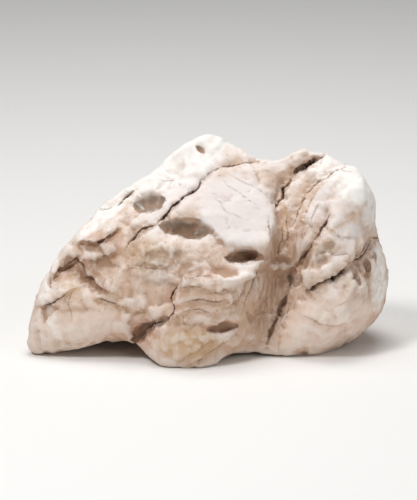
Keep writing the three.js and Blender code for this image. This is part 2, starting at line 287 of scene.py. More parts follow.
MAIN_CRACKS = (
    Crack(F, 0.42, 0.9, 0.65, ((21.7, 75.1), (17.4, 74.5), (11, 72.9), (5.6, 71.9), (0.2, 70), (-2.5, 67))),
    Crack(F, 0.62, 1.5, 0.95, ((-2.5, 67), (-4.6, 63.8), (-7.8, 61.1), (-11.6, 58.4), (-14.8, 55.2),
                               (-18.6, 50.9), (-20.7, 48.7))),
    Crack(F, 0.52, 1.1, 0.75, ((-20.7, 48.7), (-25.6, 47.7), (-28.8, 45), (-31.5, 42.3), (-33, 38.6))),
    Crack(F, 1.0, 2.4, 0.95, ((47.5, 77.2), (43.2, 75.6), (40, 72.4), (36.3, 71.3), (34.6, 68.6))),
    Crack(F, 1.0, 2.3, 1.0, ((34.6, 68.6), (32.5, 65.9), (29.8, 63.8), (30.3, 60.6), (28.2, 58.4),
                              (27.7, 55.2))),
    Crack(F, 0.5, 0.9, 0.8, ((23.9, 57.5), (28.2, 57.9))),
    Crack(F, 0.55, 1.0, 0.5, ((57.3, 73.5), (51.9, 70.3), (44.4, 66), (40.1, 61.7), (36.8, 55.2),
                              (33.6, 47.7))),
    Crack(F, 0.8, 1.8, 0.95, ((49.2, 53), (47.5, 49.8), (45.4, 45.5), (42.2, 41.2))),
    Crack(F, 0.6, 1.3, 0.7, ((42.2, 41.2), (39.5, 36.9), (36.8, 33.7), (35.2, 30.4))),
    Crack(F, 0.65, 1.4, 0.8, ((66.9, 42.3), (64.8, 38), (61.5, 34.7), (57.2, 33.1))),
    Crack(F, 1.1, 2.8, 1.0, ((57.2, 33.1), (52.9, 29.4), (48.6, 26.7), (44.3, 24), (40, 21.8))),
    Crack(F, 1.2, 1.4, 0.42, ((33.6, 30), (32.5, 23), (28.2, 12.2), (25, 4.7), (23.9, -0.7))),
    Crack(F, 1.1, 1.5, 0.45, ((-63.2, 27.2), (-60, 30.4), (-53.5, 34.7), (-50.9, 31.5), (-48.2, 27.2),
                              (-44.4, 24))),
    Crack(F, 0.6, 1.2, 0.75, ((-51.4, 41.7), (-46, 41.2), (-41.2, 42.8), (-37.4, 46.6))),
    Crack(F, 0.4, 0.7, 0.45, ((-50.3, 33.7), (-44, 34.5), (-38.4, 36.9))),
    Crack(F, 0.5, 1.0, 0.65, ((-67.5, 15.4), (-58.9, 19.2), (-53.5, 22.9))),
    Crack(F, 0.5, 0.9, 0.65, ((-44.9, 18.6), (-38.5, 17), (-32, 14.9))),
    Crack(F, 0.65, 1.3, 0.9, ((-45, 53.6), (-42, 55), (-39.6, 55.7))),
    Crack(F, 1.1, 2.2, 1.0, ((-36.9, 56.8), (-33.6, 59.4), (-29.9, 62.7))),
    Crack(F, 0.7, 1.6, 0.8, ((-11.6, 25.1), (-14.3, 21.8), (-15.4, 18.1), (-13.7, 14.3), (-17, 10))),
    Crack(F, 0.8, 1.8, 0.7, ((-17, 10), (-21.3, 8.9), (-23.4, 6), (-25.6, 3.6))),
    Crack(B, 0.55, 1.5, 0.8, ((-52, 36), (-38, 38), (-24, 46), (-9, 50), (4, 62), (11, 74))),
    Crack(B, 0.5, 1.2, 0.6, ((-46, 8), (-38, 20), (-33, 33), (-24, 46))),
    Crack(B, 0.9, 2.2, 0.85, ((31, 74), (27, 62), (29, 48), (22, 34), (24, 18), (17, 6))),
    Crack(B, 0.5, 1.3, 0.7, ((22, 34), (36, 40), (50, 41), (66, 50))),
    Crack(B, 0.45, 1.1, 0.6, ((36, 40), (42, 27), (38, 14), (43, 3))),
    Crack(B, 0.45, 1.1, 0.6, ((-9, 50), (-4, 36), (-14, 24), (-11, 10))),
    Crack(R, 0.5, 1.2, 0.7, ((-14, 40), (-4, 46), (8, 43), (20, 50))),
    Crack(R, 0.4, 0.9, 0.5, ((2, 45), (6, 30), (2, 16), (8, 4))),
    Crack(L, 0.5, 1.1, 0.6, ((-12, 22), (-4, 28), (6, 26), (16, 34))),
)
HAIRLINES = (
    Crack(F, 0.26, 0.3, 0.3, ((5.6, 67), (9.9, 63.8), (15.3, 59.5), (20.7, 55.2))),
    Crack(F, 0.26, 0.3, 0.3, ((7.8, 69.7), (14.2, 65.9), (21.8, 62.7), (26.5, 57.6))),
    Crack(F, 0.26, 0.3, 0.25, ((2, 60), (8, 54), (17, 50))),
    Crack(F, 0.28, 0.3, 0.3, ((-7.6, 63), (-14, 66.5), (-20, 67))),
    Crack(F, 0.35, 0.6, 0.5, ((-10.5, 27.2), (-4.1, 28.3), (3.5, 27.2))),
    Crack(F, 0.35, 0.7, 0.45, ((-11.6, 22.9), (-4.1, 24), (0.4, 22.4))),
    Crack(F, 0.6, 1.1, 0.85, ((1.6, 21.9), (4.4, 21.5), (7.8, 22.6))),
    Crack(F, 0.35, 0.7, 0.5, ((-8.4, 17.5), (-3.2, 18.6), (3.4, 17.6), (7.8, 18.8))),
    Crack(F, 0.35, 0.6, 0.4, ((-11, 13.6), (-5, 14.6), (1.4, 13.4))),
    Crack(F, 0.45, 0.8, 0.7, ((-10.2, 12.6), (-9.6, 8.4))),
    Crack(F, 0.35, 0.5, 0.4, ((-54.6, 22.9), (-56.2, 16.5), (-55.2, 10))),
    Crack(F, 0.3, 0.4, 0.35, ((-43.9, 22.9), (-39, 21.4), (-35.3, 19.2))),
    Crack(F, 0.3, 0.4, 0.35, ((-33, 32.4), (-25, 31.2), (-20, 31), (-13.4, 32.2))),
    Crack(F, 0.3, 0.3, 0.3, ((-25.6, 42), (-24.4, 36), (-27, 30))),
    Crack(F, 0.3, 0.3, 0.3, ((-13.6, 38), (-12, 33.6), (-14, 29))),
    Crack(F, 0.35, 0.5, 0.4, ((24, 52), (25.4, 46), (24.2, 40))),
    Crack(F, 0.4, 0.6, 0.45, ((21.7, 32.6), (17.4, 22.9), (13.1, 12.2))),
    Crack(F, 0.4, 0.6, 0.4, ((27, 44), (24.8, 34), (22.4, 24), (20, 12))),
    Crack(F, 0.4, 0.6, 0.45, ((30.5, 50), (29.6, 40), (28.6, 30), (27, 20))),
    Crack(F, 0.3, 0.4, 0.35, ((26, 30), (24, 20), (20.4, 8))),
    Crack(F, 0.35, 0.5, 0.45, ((32, 53), (32.6, 46), (31.6, 38))),
    Crack(F, 0.3, 0.4, 0.35, ((43.6, 62), (40.6, 56), (38, 50))),
    Crack(F, 0.3, 0.4, 0.35, ((45.6, 58), (42.6, 52), (39, 44))),
    Crack(F, 0.3, 0.4, 0.35, ((44, 68), (52, 71.4), (58, 70.6), (64, 67))),
    Crack(F, 0.3, 0.4, 0.35, ((41, 63.6), (47, 67), (53, 69))),
    Crack(F, 0.3, 0.4, 0.4, ((50, 46), (54, 43), (60, 43.4))),
    Crack(F, 0.3, 0.4, 0.35, ((46, 40), (50, 36.4), (57, 36))),
    Crack(F, 0.5, 0.9, 0.6, ((64.2, 35), (64.4, 32), (64.8, 28.3))),
    Crack(F, 0.5, 0.9, 0.6, ((58.3, 30.4), (59.4, 27.2), (61.5, 24))),
    Crack(F, 0.4, 0.7, 0.5, ((67.6, 38.6), (68, 35.6), (67.6, 32.6))),
    Crack(F, 0.35, 0.6, 0.5, ((61.2, 33), (62, 30), (62.4, 26.6))),
    Crack(F, 0.35, 0.6, 0.4, ((-8.4, -8.3), (-1.9, -5), (5.6, 0.3), (11, 4.6))),
    Crack(F, 0.3, 0.4, 0.35, ((-12, -5.6), (-4, -2.4), (3, 2.4))),
    Crack(F, 0.3, 0.4, 0.3, ((48, 14), (54, 17), (60, 19.6))),
    Crack(F, 0.3, 0.4, 0.3, ((38, 12), (46, 8), (56, 8.6))),
    Crack(F, 0.3, 0.4, 0.3, ((34, 20), (31, 10), (33, 2))),
    Crack(B, 0.3, 0.4, 0.4, ((-60, 18), (-46, 22), (-38, 20))),
    Crack(B, 0.3, 0.4, 0.4, ((-4, 36), (8, 34), (22, 34))),
    Crack(B, 0.3, 0.4, 0.4, ((42, 27), (54, 24), (66, 28))),
    Crack(B, 0.3, 0.4, 0.4, ((-24, 46), (-18, 58), (-14, 68))),
    Crack(B, 0.3, 0.4, 0.4, ((-33, 33), (-22, 28), (-14, 24))),
    Crack(T, 0.35, 0.5, 0.5, ((-34, 10), (-20, 14), (-6, 22), (4, 30))),
    Crack(T, 0.35, 0.5, 0.5, ((44, 4), (50, 14), (46, 26))),
)
LEDGES = (
    Ledge(F, 2.8, ((-52, 41.4), (-46, 41.2), (-41.2, 42.8), (-37.4, 46.6))),
    Ledge(F, 2.6, ((-50.3, 33.7), (-44, 34.5), (-38.4, 36.9))),
    Ledge(F, 2.8, ((-63.2, 27.2), (-60, 30.4), (-53.5, 34.7), (-50.9, 31.5), (-48.2, 27.2), (-44.4, 24))),
    Ledge(F, 1.2, ((-67.5, 15.4), (-58.9, 19.2), (-53.5, 22.9))),
    Ledge(F, 1.0, ((-44.9, 18.6), (-38.5, 17), (-32, 14.9))),
    Ledge(F, 0.8, ((-43.9, 22.9), (-39, 21.4), (-35.3, 19.2))),
    Ledge(F, 1.6, ((2.4, 45.6), (7, 41), (20, 38.8), (24.5, 39.4), (26.5, 44), (27.5, 50), (26.6, 57))),
    Ledge(F, 0.9, ((-32, 42.3), (-25.6, 47.7), (-20.7, 48.7), (-11.6, 58.4), (-2.5, 67), (0.2, 70))),
    Ledge(F, 1.3, ((-34, 31), (-25, 33), (-16, 31.4), (-13, 38), (-17, 44))),
    Ledge(F, 1.8, ((16, 29.4), (8.8, 27.4), (-1, 29), (-10.5, 28), (-13.7, 18.6), (-17, 11))),
    Ledge(F, 1.3, ((-12, 22.6), (-4.1, 24), (2, 21.6), (10, 22.8))),
    Ledge(F, 1.3, ((-12, 16.6), (-3.2, 18.6), (3.4, 17.2), (11, 18.8))),
    Ledge(F, 1.1, ((-13, 12), (-5, 14.2), (1.4, 12.8), (10, 13.6))),
    Ledge(F, 1.6, ((-16, 9.6), (-4, 9.4), (2, 8.2))),
    Ledge(F, 1.2, ((-8.4, -8.3), (-1.9, -5), (5.6, 0.3), (11, 4.6))),
    Ledge(F, 0.9, ((-12, -5.6), (-4, -2.4), (3, 2.4))),
    Ledge(F, 1.4, ((49.2, 54.1), (47.6, 48.8), (43.3, 41.2), (37.9, 31.6), (34, 28))),
    Ledge(F, 1.4, ((40, 21.8), (48.6, 26.7), (57.2, 33.1), (64.8, 38), (66.9, 42.3))),
    Ledge(F, 1.0, ((57.3, 73.5), (51.9, 70.3), (44.4, 66), (40.1, 61.7), (36.8, 55.2), (33.6, 47.7))),
    Ledge(F, -1.0, ((44, 68), (52, 71.4), (58, 70.6), (64, 67))),
    Ledge(F, -0.8, ((41, 63.6), (47, 67), (53, 69))),
    Ledge(F, 1.2, ((47.5, 77.2), (40, 72.4), (34.6, 68.6), (29.8, 63.8), (28.2, 58.4))),
    Ledge(F, 0.9, ((50, 46), (54, 43), (60, 43.4))),
    Ledge(F, -0.9, ((46, 40), (50, 36.4), (57, 36))),
    Ledge(F, 0.8, ((38, 12), (46, 8), (56, 8.6), (66, 14))),
    Ledge(F, 0.8, ((-40, 57.6), (-30, 66), (-18, 74), (-8, 80))),
    Ledge(B, 1.6, ((-52, 36), (-38, 38), (-24, 46), (-9, 50), (4, 62), (11, 74))),
    Ledge(B, 1.2, ((31, 74), (27, 62), (29, 48), (22, 34), (24, 18), (17, 6))),
    Ledge(B, 1.4, ((22, 34), (36, 40), (50, 41), (66, 50))),
    Ledge(B, -1.2, ((-46, 8), (-38, 20), (-33, 33), (-24, 46))),
    Ledge(B, 1.0, ((36, 40), (42, 27), (38, 14), (43, 3))),
    Ledge(B, 0.9, ((-60, 18), (-46, 22), (-38, 20))),
)
# Each hollow's tint is painted shade in it.
HOLLOWS = (
    Hollow(F, (-24, 57.8), (7, 4.8), 14, 2.0, Tint.UMBER, 1.0),
    Hollow(F, (-8.5, 47), (11, 4.7), -8, 3.0, Tint.UMBER, 1.0, -0.6),
    Hollow(F, (13.4, 36.2), (6.6, 3.1), 10, 3.6, Tint.SOOT, 0.9, -0.5),
    Hollow(F, (18.6, 35.8), (4.4, 2.2), -8, 2.8, Tint.SOOT, 0.7, -0.5),
    Hollow(F, (5.4, 7.2), (6.8, 2.4), 8, 2.6, Tint.SOOT, 0.7, -0.2),
    Hollow(F, (-3, 79.6), (2.2, 1.5), -40, 1.4, Tint.UMBER, 1.0),
    Hollow(F, (-56.5, 33), (5.2, 3.2), 28, 1.8, Tint.FOLD, 1.2),
    Hollow(F, (-48.4, 26.6), (6.4, 2.2), -36, 1.6, Tint.FOLD, 1.3, -0.2),
    Hollow(F, (-26.4, 5.4), (6.8, 3.6), 38, 4.0, Tint.SOOT, 1.0, -0.1),
    Hollow(F, (-20, 9.4), (5, 2.4), 22, 2.4, Tint.SOOT, 0.9, -0.1),
    Hollow(F, (64.6, 32), (1.6, 4.6), 8, 1.3, Tint.SOOT, 0.7, -0.2),
    Hollow(F, (60, 27), (1.4, 4), 24, 1.1, Tint.SOOT, 0.6, -0.2),
    Hollow(F, (67.6, 35.4), (1.2, 3.4), 4, 1.0, Tint.SOOT, 0.6, -0.2),
    Hollow(F, (47, 39.6), (4.4, 3.6), 35, 1.2, Tint.UMBER, 0.5),
    Hollow(F, (35.4, 26.6), (2.4, 3.4), -20, 1.4, Tint.SOOT, 0.6),
    Hollow(B, (-40, 30), (9, 4.6), 50, 2.2, Tint.UMBER, 0.8),
    Hollow(B, (3, 52), (7.6, 3.8), 20, 2.4, Tint.UMBER, 0.9),
    Hollow(B, (48, 22), (8.4, 4), -15, 2.4, Tint.SOOT, 0.7),
    Hollow(B, (-8, 16), (6.6, 3.2), 10, 1.8, Tint.UMBER, 0.8),
)
# Patches of tint by view. The ochre ones are the stone's own tint; most others are painted light and shade,
# as noted below.
STAINS_AND_PAINTED_LIGHT = (
    # Painted shade: rose under the tip's ledges, in hollows and crevices and low down.
    TintPatch(F, (-55, 31), (9, 5), 30, Tint.ROSE, 0.7),
    TintPatch(F, (-38.5, 39), (4, 9), -24, Tint.ROSE, 1.0),
    TintPatch(F, (-45, 43), (8, 4), 10, Tint.ROSE, 0.6),
    TintPatch(F, (-47, 27), (9, 4), -35, Tint.ROSE, 0.9),
    TintPatch(F, (-26, 4.5), (10, 7), 35, Tint.ROSE, 1.2),
    TintPatch(F, (63, 31), (6, 7), 20, Tint.FOLD, 0.7),
    TintPatch(F, (5.1, 7.4), (9, 4), 8, Tint.ROSE, 0.9),
    TintPatch(F, (-1, 30), (15, 4), 0, Tint.ROSE, 0.6),
    TintPatch(F, (-14, 20), (4, 9), 0, Tint.ROSE, 0.8),
    TintPatch(F, (2, 16), (12, 6), 0, Tint.ROSE, 0.3),
    TintPatch(F, (52, 8), (16, 8), 20, Tint.ROSE, 0.3),
    TintPatch(F, (-36, 8), (24, 6), 8, Tint.ROSE, 0.3),
    TintPatch(F, (-8, 1), (16, 7), 0, Tint.OCHRE, 1.0),
    # Painted shade: darkens the main face.
    TintPatch(F, (-15, 31), (20, 10), 0, Tint.UMBER, 0.42),
    # Painted shade: fold brown under the tip's ledges.
    TintPatch(F, (-49, 28.6), (9, 4), -20, Tint.FOLD, 1.2),
    TintPatch(F, (-57, 33), (5, 3.4), 30, Tint.FOLD, 1.1),
    TintPatch(F, (-48, 25), (8, 3.6), -34, Tint.FOLD, 1.3),
    TintPatch(F, (-30, 43), (4, 4), 0, Tint.FOLD, 0.7),
    TintPatch(F, (-44, 32.4), (6, 2), 12, Tint.FOLD, 1.1),
    # Painted shade round the lobe's small hollow.
    TintPatch(F, (46, 37), (6.5, 3.6), 38, Tint.UMBER, 0.55),
    # Lavender on the lobe's facets: partly their own tone, partly painted highlight.
    TintPatch(F, (57, 45), (8, 5), 20, Tint.LAVENDER, 1.0),
    TintPatch(F, (45, 58), (3.4, 12), -28, Tint.LAVENDER, 1.0),
    TintPatch(F, (54, 37), (6, 2.6), 36, Tint.LAVENDER, 0.8),
    # Painted shade under the tip's top ledge.
    TintPatch(F, (-39, 41), (4, 8), -24, Tint.FOLD, 1.1),
    TintPatch(F, (-45, 40), (7, 2.4), 6, Tint.FOLD, 1.2),
    # Painted light: cream that lightens the lobe and the tip low down.
    TintPatch(F, (50, 9), (22, 12), 15, Tint.CREAM, 1.3),
    TintPatch(F, (-52, 8), (18, 8), 6, Tint.CREAM, 0.8),
    TintPatch(F, (-56, 25), (9, 5), 20, Tint.OCHRE, 0.6),
    TintPatch(F, (-23, 37), (11, 9), 0, Tint.OCHRE, 0.5),
    TintPatch(F, (30, 52), (3.6, 9), 10, Tint.OCHRE, 0.7),
    # The fold's own brown, partly painted shade in its valley.
    TintPatch(F, (27, 26), (10, 28), -14, Tint.FOLD, 1.0),
    TintPatch(F, (34, 38), (6, 14), -22, Tint.FOLD, 1.0),
    TintPatch(F, (44, 47), (5, 12), -28, Tint.FOLD, 0.6),
    TintPatch(F, (48, 36), (9, 5), 35, Tint.FOLD, 0.6),
    # Painted highlight: near white on the top band, the upper left edge and the rims.
    TintPatch(F, (-12, 76), (22, 8), 42, Tint.CHALK, 1.0),
    TintPatch(F, (-40, 56), (22, 4.5), 44, Tint.CHALK, 0.9),
    TintPatch(F, (60, 64), (10, 9), 0, Tint.CHALK, 1.1),
    TintPatch(F, (71, 26), (5, 20), 0, Tint.CHALK, 0.9),
    TintPatch(F, (66, 54), (5, 10), 0, Tint.CHALK, 0.6),
    TintPatch(F, (-66, 20), (3, 26), 16, Tint.CHALK, 0.5),
    # Lavender on the central facet and the upper band: partly their own tone, partly painted highlight.
    TintPatch(F, (12, 54), (19, 17), -20, Tint.LAVENDER, 1.3),
    TintPatch(F, (-8, 66), (20, 8), 45, Tint.LAVENDER, 1.0),
    TintPatch(F, (50, 56), (10, 9), 0, Tint.LAVENDER, 0.7),
    # Back and sides: rose is painted shade in hollows and low down, lavender and chalk on the upper parts
    # painted highlight, ochre the stone's own.
    TintPatch(B, (48, 22), (11, 6), -15, Tint.ROSE, 0.9),
    TintPatch(B, (-8, 16), (12, 7), 10, Tint.ROSE, 0.8),
    TintPatch(B, (20, 12), (18, 10), 0, Tint.OCHRE, 0.6),
    TintPatch(B, (25, 40), (8, 30), 8, Tint.FOLD, 0.7),
    TintPatch(B, (-20, 56), (24, 12), 30, Tint.LAVENDER, 0.8),
    TintPatch(B, (50, 62), (16, 10), 0, Tint.CHALK, 0.8),
    TintPatch(R, (4, 14), (16, 9), 0, Tint.ROSE, 0.7),
    TintPatch(R, (4, 58), (14, 10), 0, Tint.LAVENDER, 0.8),
    TintPatch(L, (4, 12), (12, 8), 0, Tint.OCHRE, 0.6),
    # Painted highlight on the top.
    TintPatch(T, (-10, 8), (30, 12), 20, Tint.CHALK, 0.8),
    TintPatch(T, (56, 6), (16, 14), 0, Tint.CHALK, 0.8),
)
LAID_TINTS = (Tint.CREAM, Tint.ROSE, Tint.OCHRE, Tint.FOLD, Tint.LAVENDER, Tint.CHALK, Tint.UMBER, Tint.SOOT)

MULTIPLY = {"operation": "MULTIPLY"}
DIVIDE = {"operation": "DIVIDE"}
ADD = {"operation": "ADD"}
SUBTRACT = {"operation": "SUBTRACT"}
SCALE = {"operation": "SCALE"}
DOT = {"operation": "DOT_PRODUCT"}
NUMBER = {"data_type": "FLOAT"}
POINT_NUMBER = {"data_type": "FLOAT", "domain": "POINT"}
COLOURS = {"data_type": "RGBA", "clamp_factor": True}
SMOOTH_RAMP = {"interpolation_type": "SMOOTHSTEP"}
MIDDLE_GREY = (0.5, 0.5, 0.5)


def linear(hex_colour: str) -> tuple[float, float, float, float]:
    """Turns an sRGB hex colour to the linear colour that the shaders take.

    Args:
        hex_colour: the colour, as "#RRGGBB".

    Returns:
        Red, green, blue and an alpha of 1.
    """
    parts = [int(hex_colour[i:i + 2], 16) / 255 for i in (1, 3, 5)]
    toned = [c / 12.92 if c <= 0.04045 else ((c + 0.055) / 1.055) ** 2.4 for c in parts]
    return (*toned, 1.0)


def add_node(tree: bpy.types.NodeTree, kind: str, settings: dict[str, Any] | None = None, *inputs: Any,
             out: int | str = 0, **named: Any) -> bpy.types.NodeSocket:
    """Adds a node with its settings, and links or sets its inputs.

    Args:
        tree: the tree that gets the node.
        kind: the node's type.
        settings: the node's own properties.
        *inputs: for the first inputs in turn, a socket to link or a value to set.
        out: which of its outputs to give back.
        **named: the same for other inputs, by name, or by i and an index.

    Returns:
        The node's output.
    """
    node = tree.nodes.new(kind)
    for name, value in (settings or {}).items():
        setattr(node, name, value)
    values: dict[int | str, Any] = dict(enumerate(inputs))
    for name, value in named.items():
        values[int(name[1:]) if name[0] == "i" and name[1:].isdigit() else name] = value
    for key, value in values.items():
        if isinstance(value, bpy.types.NodeSocket):
            tree.links.new(value, node.inputs[key])
        else:
            node.inputs[key].default_value = value
    return node.outputs[out]


def plain_mesh(obj: bpy.types.Object) -> bpy.types.Mesh:
    """Makes the mesh that an object's modifiers give.

    Args:
        obj: the object.

    Returns:
        Its evaluated mesh as plain data.
    """
    graph = bpy.context.evaluated_depsgraph_get()
    graph.update()
    return bpy.data.meshes.new_from_object(obj.evaluated_get(graph))


@dataclass
class CrackLines:
    """The cracks as lines that lie on the stone's skin, in short steps.

    Each line wavers to the side by some mm, swells and thins along its way, tapers over the tip length
    (in mm) at both ends, and has places where it is almost closed.
    """

    cracks: Sequence[Crack]
    step: float = 0.8 * MM
    reach: float = 0.4
    evenings: int = 2
    wavers: Wavers = ((0.9, 0.24), (0.45, 0.9))
    swells: Wavers = ((0.55, 330.0), (0.35, 900.0))
    tip_length: float = 5.0
    tip_depth: float = 0.15
    tip_width: float = 0.4
    gape: float = 1.15
    gape_waver: tuple[float, float] = (1.4, 210.0)
    gape_seed: tuple[float, float, float] = (7, 3, 5)
    least_gape: float = 0.5
    points: list[Vector] = field(default_factory=list)
    halves: list[float] = field(default_factory=list)
    depths: list[float] = field(default_factory=list)
    tones: list[float] = field(default_factory=list)
    edges: list[tuple[int, int]] = field(default_factory=list)

    def lay(self, skin: BVHTree) -> None:
        """Casts each crack's line onto the skin and evens it.

        Args:
            skin: the skin's faces.
        """
        for crack in self.cracks:
            laid = [hit for hit in (self._cast(skin, crack.view, p) for p in self._stations(crack)) if hit]
            for _ in range(self.evenings):
                inner = [(a + b + c) / 3 for a, b, c in zip(laid, laid[1:], laid[2:])]
                laid = [*laid[:1], *inner, *laid[-1:]] if len(laid) > 2 else laid
            self._keep(crack, laid)

    def _keep(self, crack: Crack, laid: list[Vector]) -> None:
        """Keeps a laid line with its half width, depth and tone at each point.

        Args:
            crack: the crack.
            laid: the line's points on the skin.
        """
        start = len(self.points)
        far, rate = self.gape_waver
        for i, point in enumerate(laid):
            from_tip = min(i, len(laid) - 1 - i) * self.step / MM
            taper = min(1.0, self.tip_depth + from_tip / self.tip_length)
            width = self.tip_width + (1 - self.tip_width) * taper
            swell = 1 + sum(share * noise.noise(point * pace) for share, pace in self.swells)
            gape = self.gape + far * noise.noise(point * rate + Vector(self.gape_seed))
            gape = min(1.0, max(self.least_gape, gape))
            self.points.append(point)
            self.halves.append(crack.half * MM * width * swell)
            self.depths.append(crack.depth * MM * taper * swell * gape)
            self.tones.append(crack.tone * width * gape)
            if i:
                self.edges.append((start + i - 1, start + i))

    def _stations(self, crack: Crack) -> Iterable[Place]:
        """Walks a crack's line in short steps that waver a little, as a crack in stone does.

        Args:
            crack: the crack.

        Returns:
            The places in turn, in mm.
        """
        wander = random.Random(SEED + int(abs(crack.line[0][0]) * 10))
        phase = wander.uniform(0, 40)
        for (x0, y0), (x1, y1) in zip(crack.line, crack.line[1:]):
            length = math.hypot(x1 - x0, y1 - y0)
            count = max(1, round(length * MM / self.step))
            for i in range(count):
                t = i / count
                x, y = x0 + (x1 - x0) * t, y0 + (y1 - y0) * t
                shift = sum(far * waver((x, y), rate, phase) for far, rate in self.wavers)
                yield x - (y1 - y0) / length * shift, y + (x1 - x0) / length * shift
        yield crack.line[-1]

    def _cast(self, skin: BVHTree, view: View, place: Place) -> Vector | None:
        """Where the skin lies behind a place on a view."""
        return skin.ray_cast(view.start(place, self.reach), view.axes()[2])[0]

    def to_object(self) -> bpy.types.Object:
        """Makes an object of the lines.

        Returns:
            An object of loose edges, with half width, depth and tone on its points.
        """
        mesh = bpy.data.meshes.new("crack_lines")
        mesh.from_pydata(self.points, self.edges, [])
        for name, values in (("half", self.halves), ("depth", self.depths), ("tone", self.tones)):
            mesh.attributes.new(name, "FLOAT", "POINT").data.foreach_set("value", values)
        obj = bpy.data.objects.new("crack_lines", mesh)
        bpy.context.scene.collection.objects.link(obj)
        return obj


@dataclass(frozen=True)
class WeatheringTree:
    """The node tree that chips, swells and cracks a skin, and notes where it did.

    Each field is an input of the tree: heights and sizes in metres, tilts as rise over run, and shares.
    """

    swell_height: float = 0.7 * MM
    swell_size: float = 9 * MM
    grain_height: float = 0.3 * MM
    grain_size: float = 1.8 * MM
    chip_tilt: float = 0.11
    chip_size: float = 12 * MM
    flake_tilt: float = 0.1
    flake_size: float = 4.5 * MM
    facet_bend: float = 5 * MM
    facet_bend_size: float = 8.3333 * MM
    facet_softness: float = 0.14
    pale_relief: float = 0.45
    strata_height: float = 0.26 * MM
    strata_size: float = 2.2 * MM
    strata_bank_size: float = 26 * MM
    streak_height: float = 0.9 * MM
    streak_size: float = 1.5 * MM
    crack_ripple: float = 1.1 * MM
    crack_ripple_size: float = 2.381 * MM
    crack_steepness: float = 1.4
    surroundings: ClassVar[int] = 14  # rounds of averaging, each one vertex further

    def build(self) -> bpy.types.GeometryNodeTree:
        """Builds the tree.

        Returns:
            A tree with the inputs Geometry, Crack Lines, Material and one for each field.
        """
        tree = bpy.data.node_groups.new("weathering", "GeometryNodeTree")
        face = tree.interface
        for name, kind in (("Geometry", "Geometry"), ("Crack Lines", "Object"), ("Material", "Material")):
            face.new_socket(name, in_out="INPUT", socket_type=f"NodeSocket{kind}")
        for size in fields(self):
            socket = face.new_socket(size.name.replace("_", " ").title(), in_out="INPUT",
                                     socket_type="NodeSocketFloat")
            socket.default_value = getattr(self, size.name)
        face.new_socket("Geometry", in_out="OUTPUT", socket_type="NodeSocketGeometry")
        given = tree.nodes.new("NodeGroupInput").outputs
        place = add_node(tree, "GeometryNodeInputPosition")
        normal = add_node(tree, "GeometryNodeInputNormal")

        chips = self._facets(tree, given, place, given["Chip Size"], given["Chip Tilt"])
        flakes = self._facets(tree, given, place, given["Flake Size"], given["Flake Tilt"])
        facets = add_node(tree, "ShaderNodeMath", ADD, chips, flakes)
        relief = add_node(tree, "ShaderNodeMath", ADD, self._swells(tree, given, place), facets)
        relief = add_node(tree, "ShaderNodeMath", MULTIPLY, relief, self._calm(tree, given))
        relief = add_node(tree, "ShaderNodeMath", ADD, relief, self._strata(tree, given, place))
        relief = add_node(tree, "ShaderNodeMath", ADD, relief, self._streaks(tree, given, place))
        depth, darkness, halo = self._crack_fields(tree, given, place)
        height = add_node(tree, "ShaderNodeMath", SUBTRACT, relief, depth)
        push = add_node(tree, "ShaderNodeVectorMath", SCALE, normal, Scale=height)

        skin = given["Geometry"]
        # crack is the painted shade inside the cracks, halo the brown band beside them.
        for name, value in (("crack", darkness), ("halo", halo)):
            skin = add_node(tree, "GeometryNodeStoreNamedAttribute", POINT_NUMBER, skin, Name=name,
                            Value=value)
        skin = add_node(tree, "GeometryNodeSetPosition", None, skin, Offset=push)
        up = add_node(tree, "ShaderNodeSeparateXYZ", None, add_node(tree, "GeometryNodeInputNormal"), out="Z")
        # recess and lean (the normal's Z) are what the material paints its edge highlight, recess shade and
        # facing light and shade from.
        for name, value in (("recess", self._recess(tree)), ("lean", up)):
            skin = add_node(tree, "GeometryNodeStoreNamedAttribute", POINT_NUMBER, skin, Name=name,
                            Value=value)
        skin = add_node(tree, "GeometryNodeRealizeInstances", None, skin)
        skin = add_node(tree, "GeometryNodeSetMaterial", None, skin, Material=given["Material"])
        tree.links.new(skin, tree.nodes.new("NodeGroupOutput").inputs[0])
        return tree

    def _wave(self, tree: bpy.types.NodeTree, place: Any, size: Any, detail: float,
              stretch: tuple[float, float, float] = (1, 1, 1)) -> bpy.types.NodeSocket:
        """Adds noise of one size.

        Args:
            tree: the tree that gets the nodes.
            place: the skin's positions.
            size: how long one swelling is, in metres.
            detail: how many finer waves lie on it.
            stretch: the share of the rate along X, Y and Z, less than 1 where the noise is long.

        Returns:
            The noise, from about -0.5 to 0.5.
        """
        rate = add_node(tree, "ShaderNodeMath", DIVIDE, 1.0, size)
        stretched = add_node(tree, "ShaderNodeVectorMath", MULTIPLY, place, stretch)
        wave = add_node(tree, "ShaderNodeTexNoise", None, stretched, Scale=rate, Detail=detail,
                        Roughness=0.55)
        return add_node(tree, "ShaderNodeMath", SUBTRACT, wave, 0.5)

    def _shaken(self, tree: bpy.types.NodeTree, place: Any, size: Any, far: Any) -> bpy.types.NodeSocket:
        """Adds a bend to positions, so that what is laid out on them isn't straight.

        Args:
            tree: the tree that gets the nodes.
            place: the positions.
            size: how long one bend is, in metres.
            far: how far it moves them, in metres.

        Returns:
            The bent positions.
        """
        rate = add_node(tree, "ShaderNodeMath", DIVIDE, 1.0, size)
        colour = add_node(tree, "ShaderNodeTexNoise", None, place, Scale=rate, Detail=2.0, out="Color")
        shift = add_node(tree, "ShaderNodeVectorMath", SUBTRACT, colour, MIDDLE_GREY)
        shift = add_node(tree, "ShaderNodeVectorMath", SCALE, shift, Scale=far)
        return add_node(tree, "ShaderNodeVectorMath", ADD, place, shift)

